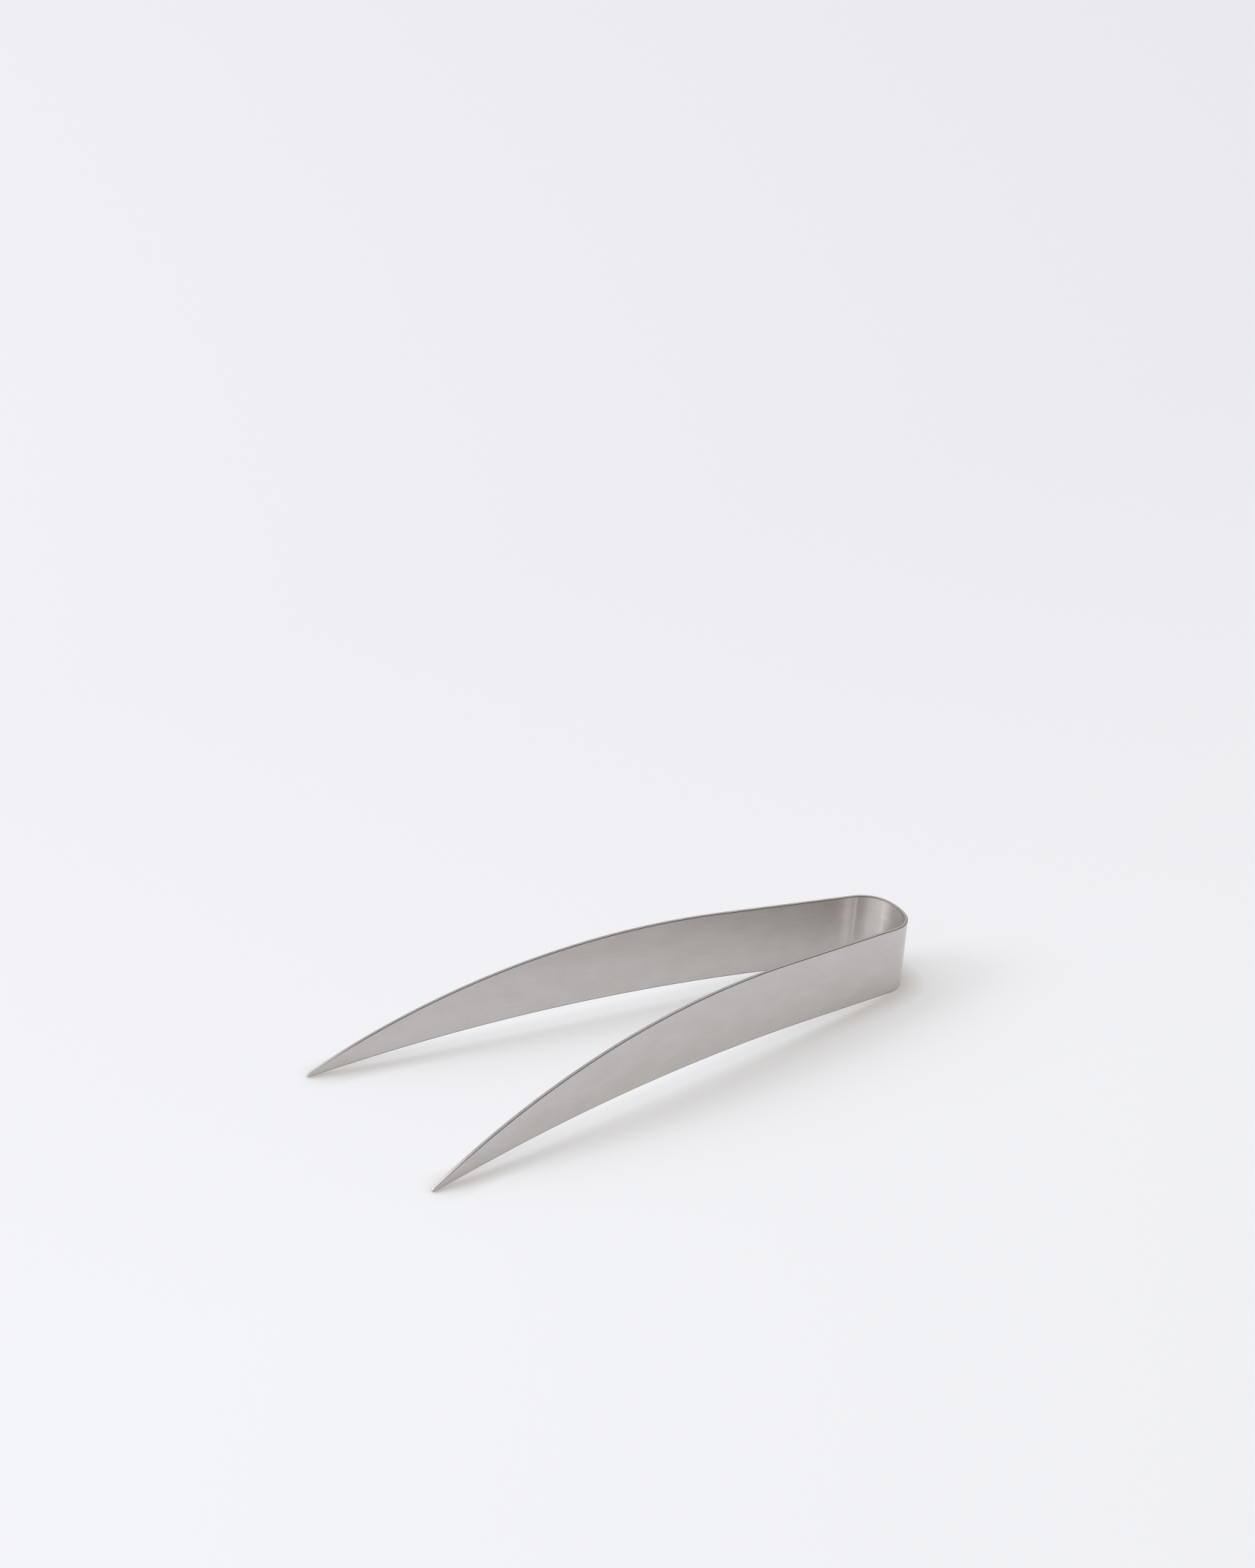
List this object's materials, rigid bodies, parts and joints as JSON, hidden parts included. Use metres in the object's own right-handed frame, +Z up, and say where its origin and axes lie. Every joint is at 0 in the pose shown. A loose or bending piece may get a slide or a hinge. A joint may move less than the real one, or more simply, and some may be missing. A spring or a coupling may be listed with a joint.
{
  "type": "stamp tongs",
  "caption": "Spring-steel stamp tongs: one bent strip with a rounded bow and tapered arms that drop to slim rounded tips and squeeze shut.",
  "frame": {"origin": "middle of the footprint, on the surface that the two tips and the heel of the bow rest on", "axes": "+X points from the tips to the bow along the centre line, +Y is the side of the right arm, +Z up"},
  "size_m": [0.127, 0.0508, 0.0186],
  "materials": {
    "strip_steel": "satin stainless steel, finely brushed along the strip, with brighter rounded edges and tips"
  },
  "bodies": {
    "bow": {"spring_bow": "strip_steel"},
    "left_arm": {"left_arm": "strip_steel"},
    "right_arm": {"right_arm": "strip_steel"}
  },
  "joints": [
    {"name": "right_arm_squeeze", "type": "hinge", "parent": "bow", "child": "right_arm", "pos_m": [0.0568, 0.00785, 0.00799], "axis": [0.0849, 0, 0.9964], "range_deg": [0, 11.7], "stiffness_Nm_per_rad": 1},
    {"name": "left_arm_squeeze", "type": "hinge", "parent": "bow", "child": "left_arm", "pos_m": [0.0568, -0.00785, 0.00799], "axis": [0.0849, 0, 0.9964], "range_deg": [-11.7, 0], "stiffness_Nm_per_rad": 1}
  ],
  "couplings": [
    {"joint": "left_arm_squeeze", "follows": "right_arm_squeeze", "ratio": -1}
  ]
}
